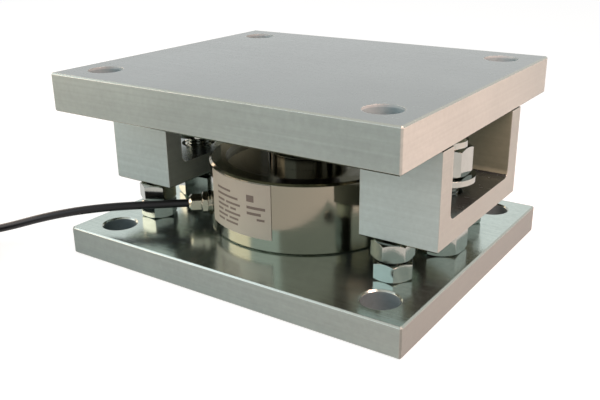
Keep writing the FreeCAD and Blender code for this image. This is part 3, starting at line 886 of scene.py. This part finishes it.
def worn_and_lit_edges(tree, normal, slope, inside, mottle):
    """A socket that is 1 on chamfers that slant upwards, outside a window, as a painted highlight, and patchy
    where edges are rubbed.

    Rubbed edges are real wear, and show where a widely rounded normal departs from the true one.
    """
    slant = 0.7
    slant_range = 0.2
    edge_width = 0.0014
    slanted = add(tree, "Math", {0: slope, 1: slant, 2: slant_range}, operation="COMPARE")
    # Painted highlight: chamfers that slant upwards, outside a window
    lit_chamfers = add(tree, "Math", {0: slanted, 1: inside}, operation="SUBTRACT", use_clamp=True)
    wide = add(tree, "Bevel", {"Radius": edge_width}, samples=6)
    same = add(tree, "VectorMath", {0: wide, 1: normal}, operation="DOT_PRODUCT")
    edge = add(tree, "MapRange", {"Value": same, "From Min": 0.99, "From Max": 0.9})
    rubbed = add(tree, "Math", {0: edge, 1: mottle}, operation="MULTIPLY")
    return add(tree, "Math", {0: rubbed, 1: lit_chamfers}, operation="MAXIMUM")


def plate_material(name, settings, face_colour, side_colour_and_light, end_light_and_shade, bore_colour_and_shade, window=0.0,
                   rim_height=1.0, face_metal=0.92, face_gloss=0.12):
    """Zinc on steel plate: flat faces are smooth and bright, sawn sides duller with faint cutter lines.

    Soft clouds and a fine mottle break the colour and the gloss. Chamfers that slant upwards are painted
    bright as a highlight, edges are bright in patches where rubbed, and bores above the height of their rim
    are painted bright as a highlight. Bores and the sides of a window, up to half its width from the middle,
    are dull and dark: the window's sides and the undersides take a dark olive colour painted as shade, and
    the base plate's bores a darker colour painted as shade. The top plate's ends and the stirrups' sides are
    painted lighter as light, the base plate's and the stirrups' ends darker as shade.
    """
    side_metal = 0.2
    side_gloss = 0.3
    grain_gloss = 0.12
    material, tree, shader, coords = start_material(name)
    place = add(tree, "SeparateXYZ", {0: coords}).node.outputs
    normal = add(tree, "NewGeometry", output="Normal")
    slope = add(tree, "SeparateXYZ", {0: normal}, output="Z")
    below = add(tree, "Math", {0: slope, 1: -FACING}, operation="LESS_THAN")
    face = facing(tree, normal, "Z")
    end = facing(tree, normal, "X")
    inside = add(tree, "Math", {0: place["Y"], 1: 0.0, 2: window}, operation="COMPARE")
    rim = add(tree, "Math", {0: place["Z"], 1: rim_height}, operation="GREATER_THAN")
    lines = add(tree, "Mix", {
        "Factor": end,
        "A": streaks(tree, coords, LINE_LENGTH, LINE_WIDTH),
        "B": streaks(tree, coords, LINE_WIDTH, LINE_LENGTH),
    }, data_type="FLOAT")
    cloud = add(tree, "TexNoise", {"Vector": coords, "Scale": per_size(38), "Detail": 5.0})
    mottle = add(tree, "TexNoise", {"Vector": coords, "Scale": per_size(2.5), "Detail": 4.0})
    grain = add(tree, "Math", {0: lines, 1: mottle}, operation="ADD")
    # Painted shade: the undersides and the sides of a window take the darker olive colour
    under = tinted(settings.olive_shade_colour)
    # Painted highlight on the top plate's bore rims, and painted shade in the base plate's darker bores
    bore = layered(tree, tinted(bore_colour_and_shade), (rim, tinted(settings.rim_highlight_colour)))
    flat = layered(tree, tinted(face_colour), (below, under))
    # The stirrups' sides and all ends carry painted light and shade in their colours
    clean = layered(tree, tinted(side_colour_and_light), (inside, under), (end, tinted(end_light_and_shade)),
                    (in_bores(tree, coords), bore), (face, flat))
    shade = add(tree, "MapRange", {"Value": cloud, "To Min": 0.86, "To Max": 1.12})
    fine = add(tree, "MapRange", {
        "Value": grain,
        "From Min": 0.6,
        "From Max": 1.4,
        "To Min": 0.9,
        "To Max": 1.1,
    })
    tone = add(tree, "Math", {0: shade, 1: fine}, operation="MULTIPLY")
    body = add(tree, "VectorMath", {0: clean, "Scale": tone}, operation="SCALE")
    # Painted highlight on upward chamfers, and real wear in patches on rubbed edges
    bright = worn_and_lit_edges(tree, normal, slope, inside, mottle)
    smooth = add(tree, "MapRange", {"Value": face, "To Min": side_gloss, "To Max": face_gloss})
    rounded = add(tree, "Bevel", {"Radius": 0.0005}, samples=4)
    feed(tree, shader, {
        "Base Color": layered(tree, body, (bright, tinted(settings.edge_wear_and_highlight))),
        "Metallic": add(tree, "MapRange", {"Value": face, "To Min": side_metal, "To Max": face_metal}),
        "Roughness": add(tree, "Math", {0: grain, 1: grain_gloss, 2: smooth}, operation="MULTIPLY_ADD"),
        "Normal": add(tree, "Bump", {"Height": lines, "Distance": 0.000008, "Normal": rounded}),
    })
    return material


class WEIGH_MODULE_OT_plates(bpy.types.Operator):
    """Polished zinc on the base plate, satin zinc on the top plate and stirrups"""
    bl_idname = "weigh_module.plates"
    bl_label = "Plates and stirrups"

    def execute(self, context):
        settings = context.scene.weigh_module.finish
        rim_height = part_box("top_plate")[1].z - RIM_DEPTH
        ground = plate_material("zinc_on_ground_steel_plate", settings, settings.base_colour,
                                settings.plate_side, settings.base_end_shaded, settings.base_bore_shaded,
                                face_metal=0.96, face_gloss=0.05)
        rolled = plate_material("zinc_on_rolled_steel_plate", settings, settings.top_colour,
                                settings.plate_side, settings.top_end_lit, settings.top_bore,
                                rim_height=rim_height)
        bent = plate_material("zinc_on_steel_stirrup", settings, settings.top_colour, settings.stirrup_side_lit,
                              settings.stirrup_end_shaded, settings.top_bore, window=WINDOW_REACH)
        dress(ground, "base_plate")
        dress(rolled, "top_plate")
        dress(bent, "left_stirrup", "right_stirrup")
        return {"FINISHED"}


def bead_skin(settings, start, end, face, under, leg):
    """A fillet bead along X between a post's face and the plate above it.

    Each section goes from the post to the plate on a flat arc. Crescent ripples stand on it: the absolute
    sine of the distance along the bead, which lags in the middle of the section. The ends taper on a
    rounded step.
    """
    rows_per_ripple = 10
    lag = 0.0012
    end_share = 0.02
    length = end - start
    rows = int(length / settings.ripple_pitch * rows_per_ripple)
    along = np.linspace(0, 1, rows)[:, None]
    across = np.linspace(0, 1, 17)[None]
    arch = 4 * across * (1 - across)
    distance = along * length - lag * arch
    ripple = np.abs(np.sin(np.pi * distance / settings.ripple_pitch)) * np.sqrt(arch)
    crown = (settings.crown * arch + settings.ripple_height * ripple) / math.sqrt(2)
    from_end = np.minimum(along, 1 - along) * length
    size = np.sqrt(np.clip(from_end / leg, end_share, 1))
    y = face + size * (leg * across + crown)
    z = under - size * (leg * (1 - across) + crown)
    x = np.broadcast_to(start + along * length, y.shape)
    arc = np.stack([x, y, z], axis=-1)
    root = np.stack([x[:, :1], np.full((rows, 1), face), np.full((rows, 1), under)], axis=-1)
    return capped(np.concatenate([arc, root], axis=1))


def weld_material(settings):
    """Plated weld bead: duller than the plate, with dark pores in the ripples."""
    zinc = settings.colour
    return spotted_material("zinc_on_weld_bead", tinted(zinc), tinted(zinc, 0.5), size=1.4, detail=5.0,
                            gloss=(0.28, 0.55), relief=(1.4, 5.0, 0.00008, 1.0), Metallic=1.0)


class WEIGH_MODULE_OT_welds(bpy.types.Operator):
    """Rippled beads between the stirrups' posts and the top plate"""
    bl_idname = "weigh_module.welds"
    bl_label = "Welds"

    def execute(self, context):
        settings = context.scene.weigh_module.welds
        low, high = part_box("stirrup_welds")
        post_low, post_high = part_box("right_stirrup")
        leg = high.z - low.z
        start = post_low.x + post_high.x - high.x
        skin = bead_skin(settings, start, high.x, high.y - leg, high.z, leg)
        skin[..., 1] = np.minimum(skin[..., 1], high.y)
        grids = [(skin * np.array([side_x, side_y, 1]), 0) for side_x, side_y in CORNERS]
        beads = make_piece("stirrup_weld_beads", grids, [weld_material(settings)])
        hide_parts("stirrup_welds")
        return {"FINISHED"}


# Load cell

def polished_material(name, colour, core_shade_colour, gloss_low, gloss_high):
    """Turned and polished steel: mirror-like, with fine rings round the axis and faint wipe marks.

    The rings are drawn coarser than they are, so that they show. The load head in the middle and the upper
    faces take their own darker colour, painted as the shade under the top plate.
    """
    level_slope = 0.9
    material, tree, shader, coords = start_material(name, Metallic=1.0)
    place = add(tree, "SeparateXYZ", {0: coords}).node.outputs
    flat = add(tree, "CombineXYZ", {"X": place["X"], "Y": place["Y"]})
    radius = add(tree, "VectorMath", {0: flat}, operation="LENGTH")
    normal = add(tree, "NewGeometry", output="Normal")
    slope = add(tree, "SeparateXYZ", {0: normal}, output="Z")
    head = add(tree, "Math", {0: radius, 1: HEAD_RADIUS}, operation="LESS_THAN")
    upper = add(tree, "Math", {0: slope, 1: level_slope}, operation="GREATER_THAN")
    # Painted shade: the load head and the upper faces
    shaded_core = add(tree, "Math", {0: head, 1: upper}, operation="MAXIMUM")
    turned = add(tree, "CombineXYZ", {"X": radius, "Z": place["Z"]})
    rings = add(tree, "TexNoise", {"Vector": turned, "Scale": per_size(0.9), "Detail": 3.0})
    wipes = add(tree, "TexNoise", {"Vector": coords, "Scale": per_size(14), "Detail": 4.0})
    marks = add(tree, "Math", {0: rings, 1: wipes}, operation="MULTIPLY")
    gloss = add(tree, "MapRange", {
        "Value": marks,
        "From Min": 0.1,
        "From Max": 0.4,
        "To Min": gloss_low,
        "To Max": gloss_high,
    })
    rounded = add(tree, "Bevel", {"Radius": 0.0004}, samples=4)
    feed(tree, shader, {
        "Base Color": layered(tree, tinted(colour), (shaded_core, tinted(core_shade_colour))),
        "Roughness": gloss,
        "Normal": add(tree, "Bump", {"Height": rings, "Distance": 0.000006, "Normal": rounded}),
    })
    return material


def gauge_material():
    """Polyimide foil with the grid of a strain gauge etched on it as stripes, drawn coarse enough to show."""
    material, tree, shader, coords = start_material("polyimide_gauge_foil", Roughness=0.4)
    stripes = add(tree, "TexWave", {"Vector": coords, "Scale": per_size(4)}, output="Fac",
                  bands_direction="DIAGONAL")
    colour = layered(tree, tinted(linear("#c98a2b")), (stripes, tinted(linear("#8f7a58"))))
    feed(tree, shader, {"Base Color": colour})
    return material


def board_material():
    """Green lacquered glass-fibre board with rows of tinned pads."""
    material, tree, shader, coords = start_material("glass_fibre_board", Roughness=0.35)
    pad_share = 0.25
    pads = add(tree, "TexVoronoi", {"Vector": coords, "Scale": per_size(4)}, distance="CHEBYCHEV")
    pad = add(tree, "Math", {0: pads, 1: pad_share}, operation="LESS_THAN")
    colour = layered(tree, tinted(linear("#2a5a38")), (pad, tinted(linear("#c4c0b0"))))
    feed(tree, shader, {"Base Color": colour})
    return material


class WEIGH_MODULE_OT_cell(bpy.types.Operator):
    """Polished steel on the cell, near-black steel on the load path as painted shade, and its inner pieces"""
    bl_idname = "weigh_module.cell"
    bl_label = "Load cell"

    def execute(self, context):
        settings = context.scene.weigh_module.finish
        # The cell's load head and upper faces are painted darker as shade
        steel = polished_material("stainless_steel_polished", settings.cell_colour, settings.head_shade_colour,
                                  gloss_low=0.06, gloss_high=0.2)
        # Near-black steel on the load button and thrust piece, painted as the shade there
        black = polished_material("steel_near_black_shade", settings.button_shade_colour, settings.button_shade_colour,
                                  gloss_low=0.25, gloss_high=0.45)
        dress(steel, "cell_body", "cell_cover")
        dress(black, "load_button", "thrust_piece")
        dress(gauge_material(), "strain_gauges")
        dress(board_material(), "terminal_board")
        return {"FINISHED"}


# Cable gland

def gland_material(settings):
    """Nickel-plated brass: warm bright metal with light tool marks."""
    nickel = settings.gland_colour
    return spotted_material("brass_nickel_plated", tinted(nickel), tinted(nickel, 0.75), size=1.2, detail=4.0,
                            gloss=(0.12, 0.3), rounding=0.0003, Metallic=1.0)


def rubber_material():
    """Black seal rubber: matt, with a fine powdery bloom."""
    return spotted_material("nitrile_rubber", tinted(linear("#161616")), tinted(linear("#2b2a29")), size=1.5,
                            detail=4.0, gloss=(0.6, 0.8))


class WEIGH_MODULE_OT_gland(bpy.types.Operator):
    """Nickel plate on the gland, rubber on its seal"""
    bl_idname = "weigh_module.gland"
    bl_label = "Cable gland"

    def execute(self, context):
        dress(gland_material(context.scene.weigh_module.finish), "gland_body", "gland_cap")
        dress(rubber_material(), "gland_seal")
        return {"FINISHED"}


# Label

def bar_skin(settings, radius, left, length, bottom, height):
    """A printed bar on the label: a thin box bent round the cell's axis, by arc and section."""
    start = settings.bearing + (left - settings.width / 2) / radius
    turn = np.linspace(start, start + length / radius, 12)[:, None]
    r = radius + settings.print_height * np.array([0, 1, 1, 0])[None]
    z = bottom + height * np.array([0, 0, 1, 1])[None]
    x = r * np.cos(turn)
    y = r * np.sin(turn)
    return capped(np.stack([x, y, np.broadcast_to(z, x.shape)], axis=-1))


def foil_material(settings):
    """Matt printed polyester foil: grey, faintly stained, with a slight orange-peel."""
    grey = settings.foil_colour
    return spotted_material("polyester_foil", tinted(grey), tinted(grey, 0.85), size=11, detail=5.0,
                            gloss=(0.35, 0.5), relief=(0.9, 2.0, 0.00001, 1.0), IOR=1.57)


def ink_material(settings):
    """Grey-brown printing ink, slightly uneven."""
    brown = settings.ink_colour
    return spotted_material("printing_ink", tinted(brown), tinted(brown, 1.5), size=0.8, detail=3.0,
                            Roughness=0.45)


class WEIGH_MODULE_OT_label(bpy.types.Operator):
    """Foil label with plain printed bars"""
    bl_idname = "weigh_module.label"
    bl_label = "Label"

    def execute(self, context):
        settings = context.scene.weigh_module.label
        low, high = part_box("cell_label")
        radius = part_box("cell_body")[1].x + settings.lift
        pitch = (high.z - low.z) / LABEL_ROWS
        grids = [(bar_skin(settings, radius, left, length, low.z + row * pitch, tall * pitch), 0)
                 for left, length, row, tall in PRINTED_BARS]
        make_piece("label_print", grids, [ink_material(settings)])
        dress(foil_material(settings), "cell_label")
        return {"FINISHED"}


class WEIGH_MODULE_PT_looks(bpy.types.Panel):
    """Lists the steps that dress the weigh module"""
    bl_idname = "WEIGH_MODULE_PT_looks"
    bl_label = "Weigh Module"
    bl_space_type = "VIEW_3D"
    bl_region_type = "UI"
    bl_category = "Weigh Module"

    def draw(self, context):
        for operator in OPERATORS:
            self.layout.operator(operator.bl_idname)


SETTINGS = (StageSettings, CableSettings, StudSettings, WeldSettings, LabelSettings, FinishSettings,
            WeighModuleSettings)
OPERATORS = (
    WEIGH_MODULE_OT_stage,
    WEIGH_MODULE_OT_lead_wires,
    WEIGH_MODULE_OT_coil_ties,
    WEIGH_MODULE_OT_cable,
    WEIGH_MODULE_OT_fasteners,
    WEIGH_MODULE_OT_plates,
    WEIGH_MODULE_OT_welds,
    WEIGH_MODULE_OT_cell,
    WEIGH_MODULE_OT_gland,
    WEIGH_MODULE_OT_label,
)
CLASSES = (*SETTINGS, *OPERATORS, WEIGH_MODULE_PT_looks)


def register():
    for item in CLASSES:
        bpy.utils.register_class(item)
    bpy.types.Scene.weigh_module = PointerProperty(type=WeighModuleSettings)


def unregister():
    del bpy.types.Scene.weigh_module
    for item in reversed(CLASSES):
        bpy.utils.unregister_class(item)


def main():
    """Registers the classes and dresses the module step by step."""
    register()
    bpy.ops.weigh_module.stage()
    bpy.ops.weigh_module.lead_wires()
    bpy.ops.weigh_module.coil_ties()
    bpy.ops.weigh_module.cable()
    bpy.ops.weigh_module.fasteners()
    bpy.ops.weigh_module.plates()
    bpy.ops.weigh_module.welds()
    bpy.ops.weigh_module.cell()
    bpy.ops.weigh_module.gland()
    bpy.ops.weigh_module.label()
    bpy.context.view_layer.update()


if __name__ == "__main__":
    main()
